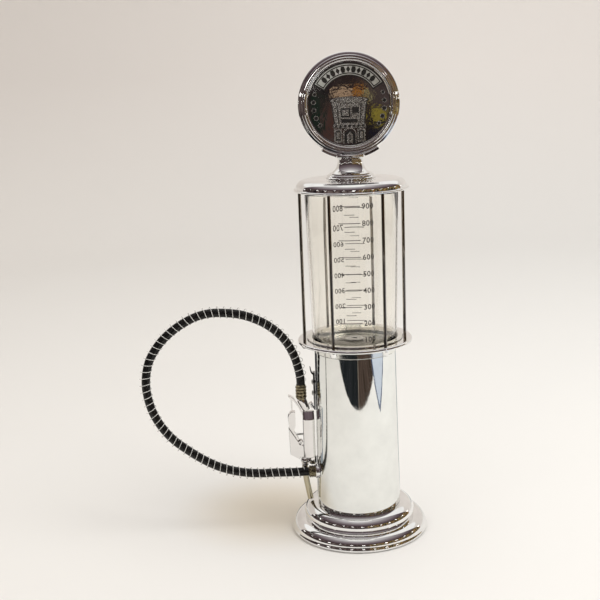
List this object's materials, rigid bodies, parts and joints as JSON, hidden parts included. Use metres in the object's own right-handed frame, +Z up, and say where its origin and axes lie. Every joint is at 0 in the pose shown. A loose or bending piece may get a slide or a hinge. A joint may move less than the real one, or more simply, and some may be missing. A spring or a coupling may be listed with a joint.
{
  "type": "gas pump drink dispenser",
  "caption": "Table-top drink dispenser shaped like an old visible gas pump: chrome column and base, glass tank caged by rods, round sign on the filler cap, hose with trigger nozzle.",
  "frame": {"origin": "centre of the underside of the base pad, on the column's axis", "axes": "+Z up the column; the round sign and the scale face -Y; the hose and nozzle are on the -X side"},
  "size_m": [0.2971, 0.1448, 0.5],
  "materials": {
    "chrome": "bright chrome plate with faint smudges",
    "sign_metal": "struck plaque, chrome with darkened recesses",
    "rod_metal": "dark polished steel rod",
    "dark_nickel": "darkened nickel plate on pressed steel",
    "old_nickel": "yellowed nickel plate on thin tube",
    "steel": "plated steel, satin",
    "brass": "turned brass",
    "dark_ferrule": "dark antiqued ringed ferrule",
    "iron": "cast, painted",
    "glass": "clear blown glass with printed scale",
    "hose_rubber": "black ribbed hose wound with bright wire",
    "silicone": "milky silicone",
    "gasket_rubber": "grey rubber",
    "felt": "black felt pad"
  },
  "bodies": {
    "pump": {"base_pad": "felt", "base_weight": "iron", "base_shell": "chrome", "column_foot_ring": "steel", "base_screw_1": "steel", "base_screw_2": "steel", "base_screw_3": "steel", "column_tube": "chrome", "neck_cup": "chrome", "tank_collar": "chrome", "lower_gasket": "gasket_rubber", "glass_tank": "glass", "drain_washer": "silicone", "drain_fitting": "steel", "drain_nut": "steel", "inner_tube": "silicone", "outlet_fitting": "brass", "outlet_nut": "brass", "outlet_flange": "chrome", "outlet_ferrule": "dark_ferrule", "tie_rod_1": "rod_metal", "rod_nut_1": "chrome", "tie_rod_2": "rod_metal", "rod_nut_2": "chrome", "tie_rod_3": "rod_metal", "rod_nut_3": "chrome", "tie_rod_4": "rod_metal", "rod_nut_4": "chrome", "tie_rod_5": "rod_metal", "rod_nut_5": "chrome", "tie_rod_6": "rod_metal", "rod_nut_6": "chrome", "upper_gasket": "silicone", "top_cover": "chrome", "holster_bracket": "dark_nickel", "holster_screw_1": "steel", "holster_screw_2": "steel", "hose": "hose_rubber"},
    "seal": {"cap_seal": "silicone"},
    "cap": {"filler_cap": "chrome", "sign_saddle": "chrome", "sign_rim": "chrome", "sign_plaque": "sign_metal", "sign_back": "chrome"},
    "nozzle": {"nozzle_ferrule": "dark_ferrule", "nozzle_neck": "chrome", "nozzle_body": "chrome", "nozzle_lug": "chrome", "guard_block": "chrome", "guard_wing": "chrome", "lever_pin": "steel", "valve_spring": "steel", "spout_collar": "chrome", "valve_cap": "chrome", "spout": "old_nickel"},
    "lever": {"lever": "chrome"},
    "valve": {"valve_stem": "steel"}
  },
  "joints": [
    {"name": "cap_lift", "type": "slide", "parent": "pump", "child": "seal", "axis": [0, 0, 1], "range_m": [0, 0.05]},
    {"name": "cap_turn", "type": "hinge", "parent": "seal", "child": "cap", "pos_m": [0, 0, 0.37], "axis": [0, 0, 1], "continuous": true},
    {"name": "nozzle_lift", "type": "slide", "parent": "pump", "child": "nozzle", "axis": [-0.5, 0, 0.866], "range_m": [0, 0.03], "deforming": ["hose"]},
    {"name": "trigger", "type": "hinge", "parent": "nozzle", "child": "lever", "pos_m": [-0.0606, 0.0045, 0.0956], "axis": [0, 1, 0], "range_deg": [0, 9], "stiffness_Nm_per_rad": 0.03, "springref_deg": -17.19},
    {"name": "valve_push", "type": "slide", "parent": "nozzle", "child": "valve", "axis": [1, 0, 0], "range_m": [0, 0.0017], "deforming": ["valve_spring"]}
  ],
  "couplings": [
    {"joint": "valve_push", "follows": "trigger", "m_per_rad": 0.0106}
  ]
}
